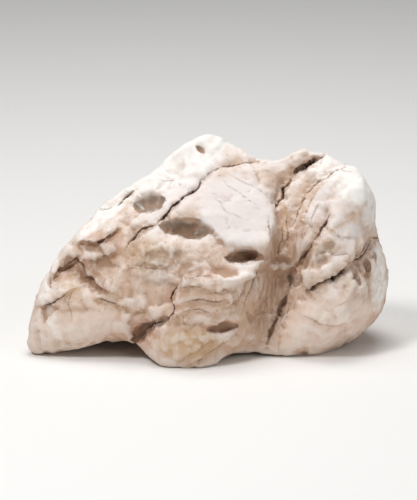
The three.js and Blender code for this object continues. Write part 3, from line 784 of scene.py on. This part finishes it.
    def _swells(self, tree: bpy.types.NodeTree, given: Any, place: Any) -> bpy.types.NodeSocket:
        """Adds low swellings and fine grain.

        Args:
            tree: the tree that gets the nodes.
            given: the tree's inputs.
            place: the skin's positions.

        Returns:
            Their height in metres.
        """
        low = self._wave(tree, place, given["Swell Size"], 3.0)
        low = add_node(tree, "ShaderNodeMath", MULTIPLY, low, given["Swell Height"])
        fine = self._wave(tree, place, given["Grain Size"], 2.0)
        fine = add_node(tree, "ShaderNodeMath", MULTIPLY, fine, given["Grain Height"])
        return add_node(tree, "ShaderNodeMath", ADD, low, fine)

    def _facets(self, tree: bpy.types.NodeTree, given: Any, place: Any, size: Any,
                tilt: Any) -> bpy.types.NodeSocket:
        """Adds facets, each tilted its own way, that run into each other without a step.

        Args:
            tree: the tree that gets the nodes.
            given: the tree's inputs.
            place: the skin's positions.
            size: how wide a facet is, in metres.
            tilt: how steep it is at most, as rise over run.

        Returns:
            Their height in metres.
        """
        bent = self._shaken(tree, place, given["Facet Bend Size"], given["Facet Bend"])
        rate = add_node(tree, "ShaderNodeMath", DIVIDE, 1.0, size)
        colour = add_node(tree, "ShaderNodeTexVoronoi", {"feature": "SMOOTH_F1"}, bent, out="Color",
                          Scale=rate, Smoothness=given["Facet Softness"])
        middle = colour.node.outputs["Position"]
        lean = add_node(tree, "ShaderNodeVectorMath", SUBTRACT, colour, MIDDLE_GREY)
        away = add_node(tree, "ShaderNodeVectorMath", SUBTRACT, bent, middle)
        rise = add_node(tree, "ShaderNodeVectorMath", DOT, lean, away, out="Value")
        steepness = add_node(tree, "ShaderNodeMath", MULTIPLY, tilt, 2.0)
        return add_node(tree, "ShaderNodeMath", MULTIPLY, rise, steepness)

    def _calm(self, tree: bpy.types.NodeTree, given: Any) -> bpy.types.NodeSocket:
        """Adds the share of the relief that shows: less on the pale faces, which are smoother.

        Args:
            tree: the tree that gets the nodes.
            given: the tree's inputs.

        Returns:
            The share, 1 or less.
        """
        pale: Any = 0.0
        for tint in (Tint.LAVENDER, Tint.CHALK, Tint.CREAM):
            kept = add_node(tree, "GeometryNodeInputNamedAttribute", NUMBER, tint.attribute)
            pale = add_node(tree, "ShaderNodeMath", {"operation": "MAXIMUM"}, pale, kept)
        return add_node(tree, "ShaderNodeMapRange", None, pale, 0.0, 1.0, 1.0, given["Pale Relief"])

    def _strata(self, tree: bpy.types.NodeTree, given: Any, place: Any) -> bpy.types.NodeSocket:
        """Adds thin beds that dip to the left, in banks: noise that is long along them and short across.

        Args:
            tree: the tree that gets the nodes.
            given: the tree's inputs.
            place: the skin's positions.

        Returns:
            Their height in metres.
        """
        dip = (math.radians(12), math.radians(-8), 0.0)
        turned = add_node(tree, "ShaderNodeVectorRotate", {"rotation_type": "EULER_XYZ"}, place, Rotation=dip)
        beds = self._wave(tree, turned, given["Strata Size"], 2.0, (0.12, 0.12, 1.0))
        bank = self._wave(tree, place, given["Strata Bank Size"], 1.0)
        share = add_node(tree, "ShaderNodeMapRange", None, bank, -0.06, 0.12, 0.0, 2.0)
        height = add_node(tree, "ShaderNodeMath", MULTIPLY, beds, given["Strata Height"])
        return add_node(tree, "ShaderNodeMath", MULTIPLY, height, share)

    def _streaks(self, tree: bpy.types.NodeTree, given: Any, place: Any) -> bpy.types.NodeSocket:
        """Adds fine ribs that run down the folds.

        Args:
            tree: the tree that gets the nodes.
            given: the tree's inputs.
            place: the skin's positions.

        Returns:
            Their height in metres.
        """
        ribs = self._wave(tree, place, given["Streak Size"], 2.0, (1.0, 1.0, 0.13))
        where = add_node(tree, "GeometryNodeInputNamedAttribute", NUMBER, Tint.FOLD.attribute)
        height = add_node(tree, "ShaderNodeMath", MULTIPLY, ribs, given["Streak Height"])
        return add_node(tree, "ShaderNodeMath", MULTIPLY, height, where)

    def _crack_fields(self, tree: bpy.types.NodeTree, given: Any, place: Any) -> tuple[Any, Any, Any]:
        """Adds how deep the cracks are, how dark their painted shade is, and how far the brown band beside
        them reaches.

        Args:
            tree: the tree that gets the nodes.
            given: the tree's inputs.
            place: the skin's positions.

        Returns:
            Depth in metres, darkness from 0 to 1 and halo from 0 to 1.
        """
        lines = add_node(tree, "GeometryNodeObjectInfo", {"transform_space": "RELATIVE"},
                         given["Crack Lines"], out="Geometry")
        seen = self._shaken(tree, place, given["Crack Ripple Size"], given["Crack Ripple"])
        distance = add_node(tree, "GeometryNodeProximity", {"target_element": "EDGES"}, lines, out="Distance",
                            **{"Sample Position": seen})
        station = add_node(tree, "GeometryNodeSampleNearest", {"domain": "POINT"}, lines, seen)
        read = {}
        for name in ("half", "depth", "tone"):
            kept = add_node(tree, "GeometryNodeInputNamedAttribute", NUMBER, name)
            read[name] = add_node(tree, "GeometryNodeSampleIndex", POINT_NUMBER, lines, Value=kept,
                                  Index=station)
        away = add_node(tree, "ShaderNodeMath", DIVIDE, distance, read["half"])
        wall = add_node(tree, "ShaderNodeMapRange", None, away, 0.0, 1.0, 1.0, 0.0)
        cut = add_node(tree, "ShaderNodeMath", {"operation": "POWER"}, wall, given["Crack Steepness"])
        dark = add_node(tree, "ShaderNodeMapRange", SMOOTH_RAMP, away, 0.2, 1.0, 1.0, 0.0)
        halo = add_node(tree, "ShaderNodeMapRange", SMOOTH_RAMP, away, 0.6, 3.4, 1.0, 0.0)
        return (add_node(tree, "ShaderNodeMath", MULTIPLY, cut, read["depth"]),
                add_node(tree, "ShaderNodeMath", MULTIPLY, dark, read["tone"]),
                add_node(tree, "ShaderNodeMath", MULTIPLY, halo, read["tone"]))

    def _recess(self, tree: bpy.types.NodeTree) -> bpy.types.NodeSocket:
        """Adds how far the skin lies behind its surroundings.

        Args:
            tree: the tree that gets the nodes.

        Returns:
            The distance in mm: above 0 in hollows, below 0 on edges.
        """
        place = add_node(tree, "GeometryNodeInputPosition")
        normal = add_node(tree, "GeometryNodeInputNormal")
        blur = tree.nodes.new("GeometryNodeBlurAttribute")
        blur.data_type = "FLOAT_VECTOR"
        tree.links.new(place, next(s for s in blur.inputs if s.type == "VECTOR" and s.enabled))
        blur.inputs["Iterations"].default_value = self.surroundings
        mean = next(s for s in blur.outputs if s.type == "VECTOR" and s.enabled)
        gap = add_node(tree, "ShaderNodeVectorMath", SUBTRACT, mean, place)
        rise = add_node(tree, "ShaderNodeVectorMath", DOT, gap, normal, out="Value")
        return add_node(tree, "ShaderNodeMath", DIVIDE, rise, MM)


@dataclass(frozen=True)
class Pattern:
    """Noise with swellings of one size in mm, and the lowest and highest of it that count as 0 and 1."""

    size: float
    detail: float
    low: float = 0.35
    high: float = 0.65


@dataclass(frozen=True)
class WeatheredLimestone:
    """Compact limestone, broken and then worn. Sizes are in mm."""

    roughness: float = 0.88
    ior: float = 1.55
    specular: float = 0.3
    clouds: Pattern = Pattern(14, 5)
    flecks: Pattern = Pattern(4, 5, 0.5, 0.75)
    bloom: Pattern = Pattern(6, 5, 0.52, 0.75)
    specks: Pattern = Pattern(1.5, 3, 0.58, 0.7)
    ragged: Pattern = Pattern(3.2, 5, 0.3, 0.7)
    streaks: Pattern = Pattern(1.7, 4, 0.38, 0.62)
    patches: Pattern = Pattern(3, 4, 0.3, 0.7)
    # The real grain and pits are finer than a picture of the whole stone shows, so these are coarser.
    grain: float = 1.2
    pits: float = 1.4

    def build(self) -> bpy.types.Material:
        """Builds the material.

        Returns:
            A material that reads the skin's own attributes and Object coordinates.
        """
        # Fine-grained and matt: pale and pinkish, with painted light and shade in the colour: paler on faces
        # that turn up and whiter on edges (partly worn, partly painted highlight), warmer below and brown in
        # recesses, hollows and cracks as painted shade.
        mat = bpy.data.materials.new("weathered_limestone")
        mat.use_nodes = True
        tree = mat.node_tree
        shader = tree.nodes["Principled BSDF"]
        shader.inputs["Roughness"].default_value = self.roughness
        shader.inputs["IOR"].default_value = self.ior
        shader.inputs["Specular IOR Level"].default_value = self.specular
        place = add_node(tree, "ShaderNodeTexCoord", out="Object")
        colour = self._ground(tree, place)
        for tint in LAID_TINTS:
            colour = self._tinted(tree, colour, place, tint)
        colour = self._worn(tree, colour)
        colour = self._dirt(tree, colour, place)
        tree.links.new(colour, shader.inputs["Base Color"])
        tree.links.new(self._bump(tree, place), shader.inputs["Normal"])
        return mat

    def _noise(self, tree: bpy.types.NodeTree, place: Any, pattern: Pattern) -> bpy.types.NodeSocket:
        """A pattern at the material's positions, from 0 to 1."""
        wave = add_node(tree, "ShaderNodeTexNoise", None, place, Scale=1 / (pattern.size * MM),
                        Detail=pattern.detail)
        return add_node(tree, "ShaderNodeMapRange", None, wave, pattern.low, pattern.high)

    def _over(self, tree: bpy.types.NodeTree, colour: Any, tint: Tint, cover: Any,
              most: float = 1.0) -> bpy.types.NodeSocket:
        """Lays one of the tints over a colour.

        Args:
            tree: the tree that gets the nodes.
            colour: the colour below.
            tint: the tint on top.
            cover: how far it covers, from 0 to 1.
            most: the share of it that shows at full cover.

        Returns:
            The colour with the tint on it.
        """
        share = add_node(tree, "ShaderNodeMath", MULTIPLY, cover, most)
        return add_node(tree, "ShaderNodeMix", COLOURS, share, out=2, i6=colour, i7=linear(tint.value))

    def _ground(self, tree: bpy.types.NodeTree, place: Any) -> bpy.types.NodeSocket:
        """Adds the ground: pale on what faces up, as painted highlight, and warmer below, as painted shade,
        with pink clouds and brown specks.

        Args:
            tree: the tree that gets the nodes.
            place: the Object coordinates.

        Returns:
            The colour.
        """
        clouds = self._noise(tree, place, self.clouds)
        lean = add_node(tree, "ShaderNodeAttribute", {"attribute_name": "lean"}, out="Fac")
        level = add_node(tree, "ShaderNodeMath", {"operation": "MULTIPLY_ADD"}, clouds, 0.5, -0.25)
        level = add_node(tree, "ShaderNodeMath", ADD, lean, level)
        # Painted shade: beige where faces turn aside or down.
        warm = add_node(tree, "ShaderNodeMapRange", None, level, 0.0, 0.85, 1.0, 0.0)
        colour = self._over(tree, linear(Tint.CREAM.value), Tint.BEIGE, warm)
        # Painted highlight: lavender where faces turn up.
        pale = add_node(tree, "ShaderNodeMapRange", None, level, 0.5, 1.1)
        colour = self._over(tree, colour, Tint.LAVENDER, pale, 0.9)
        colour = self._over(tree, colour, Tint.ROSE, self._noise(tree, place, self.flecks), 0.4)
        colour = self._over(tree, colour, Tint.LAVENDER, self._noise(tree, place, self.bloom), 0.35)
        return self._over(tree, colour, Tint.UMBER, self._noise(tree, place, self.specks), 0.45)

    def _tinted(self, tree: bpy.types.NodeTree, colour: Any, place: Any, tint: Tint) -> bpy.types.NodeSocket:
        """Lays one patch of tint over a colour, ragged at its edge, and in streaks in the folds; many patches
        are painted light and shade.

        Args:
            tree: the tree that gets the nodes.
            colour: the colour below.
            place: the Object coordinates.
            tint: the patch's tint.

        Returns:
            The tinted colour.
        """
        cover = add_node(tree, "ShaderNodeAttribute", {"attribute_name": tint.attribute}, out="Fac")
        ragged = self._noise(tree, place, self.ragged)
        rim = add_node(tree, "ShaderNodeMath", {"operation": "MULTIPLY_ADD"}, ragged, 0.7, -0.45)
        total = add_node(tree, "ShaderNodeMath", ADD, cover, rim)
        share = add_node(tree, "ShaderNodeMapRange", None, total, 0.0, 1.0)
        gate = add_node(tree, "ShaderNodeMapRange", None, cover, 0.0, 0.3)
        strength = add_node(tree, "ShaderNodeMath", MULTIPLY, share, gate)
        if tint is Tint.FOLD:
            strength = add_node(tree, "ShaderNodeMath", MULTIPLY, strength, self._streaked(tree, place))
        return self._over(tree, colour, tint, strength)

    def _streaked(self, tree: bpy.types.NodeTree, place: Any) -> bpy.types.NodeSocket:
        """Adds streaks that run down the stone.

        Args:
            tree: the tree that gets the nodes.
            place: the Object coordinates.

        Returns:
            A share from 0.25 between the streaks to 1 on them.
        """
        long = add_node(tree, "ShaderNodeVectorMath", MULTIPLY, place, (1.0, 1.0, 0.11))
        wave = self._noise(tree, long, self.streaks)
        return add_node(tree, "ShaderNodeMapRange", None, wave, 0.0, 1.0, 0.25, 1.0)

    def _worn(self, tree: bpy.types.NodeTree, colour: Any) -> bpy.types.NodeSocket:
        """Whitens the edges, partly as wear and partly as painted highlight, and browns the recesses as
        painted shade.

        Args:
            tree: the tree that gets the nodes.
            colour: the colour below.

        Returns:
            The colour with whitened edges and shaded recesses.
        """
        recess = add_node(tree, "ShaderNodeAttribute", {"attribute_name": "recess"}, out="Fac")
        # Painted highlight on convex edges, partly worn edges.
        edge = add_node(tree, "ShaderNodeMapRange", None, recess, -0.1, -0.6)
        colour = self._over(tree, colour, Tint.CHALK, edge, 0.38)
        # Painted shade: brown in recesses, darker the deeper they lie.
        hollow = add_node(tree, "ShaderNodeMapRange", None, recess, 0.05, 0.48)
        return self._over(tree, colour, Tint.FOLD, hollow, 0.8)

    def _dirt(self, tree: bpy.types.NodeTree, colour: Any, place: Any) -> bpy.types.NodeSocket:
        """Paints the cracks dark inside as painted shade, with a brown band beside them.

        Args:
            tree: the tree that gets the nodes.
            colour: the colour below.
            place: the Object coordinates.

        Returns:
            The colour with the cracks' painted shade and the band on it.
        """
        halo = add_node(tree, "ShaderNodeAttribute", {"attribute_name": "halo"}, out="Fac")
        halo = add_node(tree, "ShaderNodeMath", MULTIPLY, halo, self._noise(tree, place, self.patches))
        colour = self._over(tree, colour, Tint.FOLD, halo, 0.7)
        # Painted shade: dark brown inside the cracks, darker where they gape.
        crack = add_node(tree, "ShaderNodeAttribute", {"attribute_name": "crack"}, out="Fac")
        return self._over(tree, colour, Tint.DARK, crack)

    def _bump(self, tree: bpy.types.NodeTree, place: Any) -> bpy.types.NodeSocket:
        """Adds fine grain and tiny pits.

        Args:
            tree: the tree that gets the nodes.
            place: the Object coordinates.

        Returns:
            The bumped normal.
        """
        grain = add_node(tree, "ShaderNodeTexNoise", None, place, Scale=1 / (self.grain * MM), Detail=4.0)
        grained = add_node(tree, "ShaderNodeBump", None, Strength=0.35, Distance=0.3 * MM, Height=grain)
        pits = add_node(tree, "ShaderNodeTexVoronoi", {"feature": "F1"}, place, out="Distance",
                        Scale=1 / (self.pits * MM))
        floor = add_node(tree, "ShaderNodeMapRange", None, pits, 0.0, 0.3)
        return add_node(tree, "ShaderNodeBump", None, Strength=0.25, Distance=0.25 * MM, Height=floor,
                        Normal=grained)


@dataclass
class Stone:
    """The stone: the solid's own form, refined, weathered, cracked, stained and given painted light and
    shade.
    """

    node: str = "stone"
    slot: str = "stone"
    voxel: float = 1.2 * MM
    smoothing: int = 3
    weld: float = 0.01 * MM
    refine_margins: tuple[float, ...] = (0.9 * MM, 0.35 * MM)
    refine_round: float = 1.3
    least_facing: float = 0.1
    facing_blend: float = 0.3

    def build(self) -> bpy.types.Object:
        """Builds the visible stone in place of its solid.

        Returns:
            The finished stone.
        """
        base = self._skin()
        refined = self._refined(base, self._laid(base))
        self._relieve(refined)
        lines = self._laid(refined)
        stone = bpy.data.objects.new("weathered_stone", refined)
        bpy.context.scene.collection.objects.link(stone)
        self._weather(stone, lines.to_object())
        for polygon in stone.data.polygons:
            polygon.use_smooth = True
        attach(stone, "root")
        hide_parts(self.node)
        return stone

    def _laid(self, mesh: bpy.types.Mesh) -> CrackLines:
        """Lays the cracks' lines on a mesh.

        Args:
            mesh: the mesh.

        Returns:
            The lines as they lie on it.
        """
        corners = [v.co for v in mesh.vertices]
        faces = [tuple(p.vertices) for p in mesh.polygons]
        lines = CrackLines(MAIN_CRACKS + HAIRLINES)
        lines.lay(BVHTree.FromPolygons(corners, faces))
        return lines

    def _skin(self) -> bpy.types.Mesh:
        """Takes the solid's skin as one even mesh, and softens the edges of its facets.

        Returns:
            The skin.
        """
        bm = bmesh.new()
        bm.from_mesh(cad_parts[self.node].data)
        bmesh.ops.remove_doubles(bm, verts=bm.verts, dist=self.weld)
        mesh = bpy.data.meshes.new("skin")
        bm.to_mesh(mesh)
        bm.free()
        obj = bpy.data.objects.new("skin", mesh)
        bpy.context.scene.collection.objects.link(obj)
        remesh = obj.modifiers.new("even", "REMESH")
        remesh.mode = "VOXEL"
        remesh.voxel_size = self.voxel
        smooth = obj.modifiers.new("soften", "SMOOTH")
        smooth.factor = 0.5
        smooth.iterations = self.smoothing
        skin = plain_mesh(obj)
        bpy.data.objects.remove(obj)
        return skin

    def _refined(self, base: bpy.types.Mesh, lines: CrackLines) -> bpy.types.Mesh:
        """Splits the skin's faces near the cracks, and once in the hollows too.

        Args:
            base: the even skin.
            lines: the cracks on it.

        Returns:
            A new mesh of triangles.
        """
        tree = KDTree(len(lines.points))
        for i, point in enumerate(lines.points):
            tree.insert(point, i)
        tree.balance()
        bm = bmesh.new()
        bm.from_mesh(base)
        bmesh.ops.triangulate(bm, faces=bm.faces)
        for number, margin in enumerate(self.refine_margins):
            near = []
            for edge in bm.edges:
                middle = (edge.verts[0].co + edge.verts[1].co) / 2
                _, index, distance = tree.find(middle)
                if distance < lines.halves[index] + margin or (number == 0 and self._in_hollow(middle, edge)):
                    near.append(edge)
            bmesh.ops.subdivide_edges(bm, edges=near, cuts=1, use_grid_fill=True)
            bmesh.ops.triangulate(bm, faces=[f for f in bm.faces if len(f.verts) > 3])
        mesh = bpy.data.meshes.new("weathered_stone")
        bm.to_mesh(mesh)
        bm.free()
        return mesh

    def _in_hollow(self, point: Vector, edge: bmesh.types.BMEdge) -> bool:
        """Tells whether an edge lies in a hollow, on the side of the stone that the hollow is on.

        Args:
            point: the middle of the edge.
            edge: the edge.

        Returns:
            True in a hollow or just past its rim.
        """
        normal = edge.verts[0].normal
        for hollow in HOLLOWS:
            if normal.dot(hollow.view.axes()[2]) < -self.least_facing:
                u, v = hollow.local(hollow.view.place(point))
                if u * u + v * v < self.refine_round:
                    return True
        return False

    def _relieve(self, mesh: bpy.types.Mesh) -> None:
        """Steps the skin at its ledges, sinks the hollows into it and keeps the tint patches (stains, and
        painted light and shade) and the hollows' painted shade as tints.

        Args:
            mesh: the refined skin.
        """
        covers = {tint: [0.0] * len(mesh.vertices) for tint in LAID_TINTS}
        sides = {view: view.axes()[2] for view in View}
        moves = []
        for vertex in mesh.vertices:
            for view, inward in sides.items():
                turned = -vertex.normal.dot(inward) - self.least_facing
                facing = min(1.0, max(0.0, turned / self.facing_blend))
                if not facing:
                    continue
                place = view.place(vertex.co)
                self._stain(covers, vertex.index, view, place, facing)
                rise = sum(ledge.rise(place) for ledge in LEDGES if ledge.view is view)
                if rise:
                    moves.append((vertex, -inward * rise * MM * facing))
                for hollow in HOLLOWS:
                    if hollow.view is view:
                        depth, shade = hollow.sink(place)
                        if depth:
                            moves.append((vertex, inward * depth * MM * facing))
                            # The hollow's tint is painted shade.
                            kept = covers[hollow.tint]
                            kept[vertex.index] = max(kept[vertex.index], facing * shade)
        for vertex, move in moves:
            vertex.co += move
        mesh.update()
        for tint, values in covers.items():
            mesh.attributes.new(tint.attribute, "FLOAT", "POINT").data.foreach_set("value", values)

    def _stain(self, covers: dict[Tint, list[float]], index: int, view: View, place: Place,
               facing: float) -> None:
        """Adds the tint patches of one view to a point's tints: stains, and painted light and shade.

        Args:
            covers: each tint's cover, by point.
            index: the point's own number.
            view: the side of the stone.
            place: where the point lies on it.
            facing: how far the point faces that side, from 0 to 1.
        """
        for tint_patch in STAINS_AND_PAINTED_LIGHT:
            if tint_patch.view is view:
                kept = covers[tint_patch.tint]
                kept[index] = max(kept[index], facing * tint_patch.cover(place))

    def _weather(self, stone: bpy.types.Object, lines: bpy.types.Object) -> None:
        """Runs the weathering tree on the stone and keeps its result as a plain mesh.

        Args:
            stone: the object with the refined skin.
            lines: the cracks' lines, which are removed afterwards.
        """
        tree = WeatheringTree().build()
        modifier = stone.modifiers.new("weathering", "NODES")
        modifier.node_group = tree
        keys = {item.name: item.identifier for item in tree.interface.items_tree if item.in_out == "INPUT"}
        modifier[keys["Crack Lines"]] = lines
        modifier[keys["Material"]] = WeatheredLimestone().build()
        mesh = plain_mesh(stone)
        stone.modifiers.clear()
        stone.data = mesh
        for vertex in mesh.vertices:
            vertex.co.z = max(vertex.co.z, 0.0)
        bpy.data.objects.remove(lines)


@dataclass(frozen=True)
class PaleCard:
    """Uncoated white card for the floor."""

    colour: str = "#F2F1EF"
    roughness: float = 0.9

    def build(self) -> bpy.types.Material:
        """Builds the material.

        Returns:
            One even colour.
        """
        # Matt and almost white, so that it takes the stone's soft shadow and shows nothing else.
        mat = bpy.data.materials.new("pale_card")
        mat.use_nodes = True
        shader = mat.node_tree.nodes["Principled BSDF"]
        shader.inputs["Base Color"].default_value = linear(self.colour)
        shader.inputs["Roughness"].default_value = self.roughness
        return mat


@dataclass(frozen=True)
class Lamp:
    """A square soft light: its place and side in metres, and its power in watts."""

    name: str
    place: tuple[float, float, float]
    side: float
    power: float

    def build(self, target: Vector) -> None:
        """Hangs the light up.

        Args:
            target: what it points at.
        """
        data = bpy.data.lights.new(self.name, "AREA")
        data.energy = self.power
        data.size = self.side
        light = bpy.data.objects.new(self.name, data)
        light.location = self.place
        light.rotation_euler = (target - light.location).to_track_quat("-Z", "Y").to_euler()
        bpy.context.scene.collection.objects.link(light)


@dataclass
class Studio:
    """The plain floor, the soft lights and the camera, with sizes in metres and the sensor in mm."""

    lamps: tuple[Lamp, ...] = (
        Lamp("overhead", (0.0, 0.15, 0.95), 0.6, 5.6),
        Lamp("key", (-0.42, -0.4, 0.82), 0.22, 4.2),
        Lamp("fill", (0.7, -0.7, 0.35), 0.8, 1.9),
    )
    lamps_aim: float = 0.04
    room_light: float = 0.16
    floor_half: float = 6.0
    distance: float = 1.33
    filled: float = 0.86
    sensor: float = 36.0

    def build(self, stone: bpy.types.Object) -> None:
        """Sets the floor, the lights and the camera round the stone.

        Args:
            stone: the finished stone.
        """
        self._floor()
        for lamp in self.lamps:
            lamp.build(Vector((0, 0, self.lamps_aim)))
        world = bpy.data.worlds.new("studio")
        bpy.context.scene.world = world
        world.use_nodes = True
        world.node_tree.nodes["Background"].inputs["Color"].default_value = (1, 1, 1, 1)
        world.node_tree.nodes["Background"].inputs["Strength"].default_value = self.room_light
        bpy.context.scene.view_settings.view_transform = "Standard"
        self._camera(stone)

    def _floor(self) -> None:
        """Lays a wide pale floor on the resting plane."""
        mesh = bpy.data.meshes.new("floor")
        far = self.floor_half
        mesh.from_pydata([(-far, -far, 0), (far, -far, 0), (far, far, 0), (-far, far, 0)], [], [(0, 1, 2, 3)])
        mesh.materials.append(PaleCard().build())
        floor = bpy.data.objects.new("floor", mesh)
        bpy.context.scene.collection.objects.link(floor)

    def _camera(self, stone: bpy.types.Object) -> None:
        """Aims a long lens along +Y and a little down, at the middle of the stone's picture.

        Args:
            stone: the finished stone, which fills a set share of the picture's width.
        """
        back = Vector((0, -math.cos(FRONT_TILT), math.sin(FRONT_TILT)))
        up = Vector((0, math.sin(FRONT_TILT), math.cos(FRONT_TILT)))
        heights = [v.co.dot(up) for v in stone.data.vertices]
        sides = [v.co.x for v in stone.data.vertices]
        target = up * (min(heights) + max(heights)) / 2
        target.x = (min(sides) + max(sides)) / 2
        half_width = (max(sides) - min(sides)) / 2 / self.filled
        data = bpy.data.cameras.new("camera")
        data.sensor_fit = "HORIZONTAL"
        data.sensor_width = self.sensor
        data.lens = self.sensor / 2 * self.distance / half_width
        camera = bpy.data.objects.new("camera", data)
        camera.location = target + back * self.distance
        camera.rotation_euler = (-back).to_track_quat("-Z", "Y").to_euler()
        bpy.context.scene.collection.objects.link(camera)
        bpy.context.scene.camera = camera


def main() -> None:
    """Builds the stone and the studio, and logs the stone's triangle count."""
    logging.basicConfig(level=logging.INFO, format="%(name)s: %(message)s")
    stone = Stone().build()
    stone.data.calc_loop_triangles()
    log.info("%s: %d triangles", stone.name, len(stone.data.loop_triangles))
    Studio().build(stone)


if __name__ == "__main__":
    main()
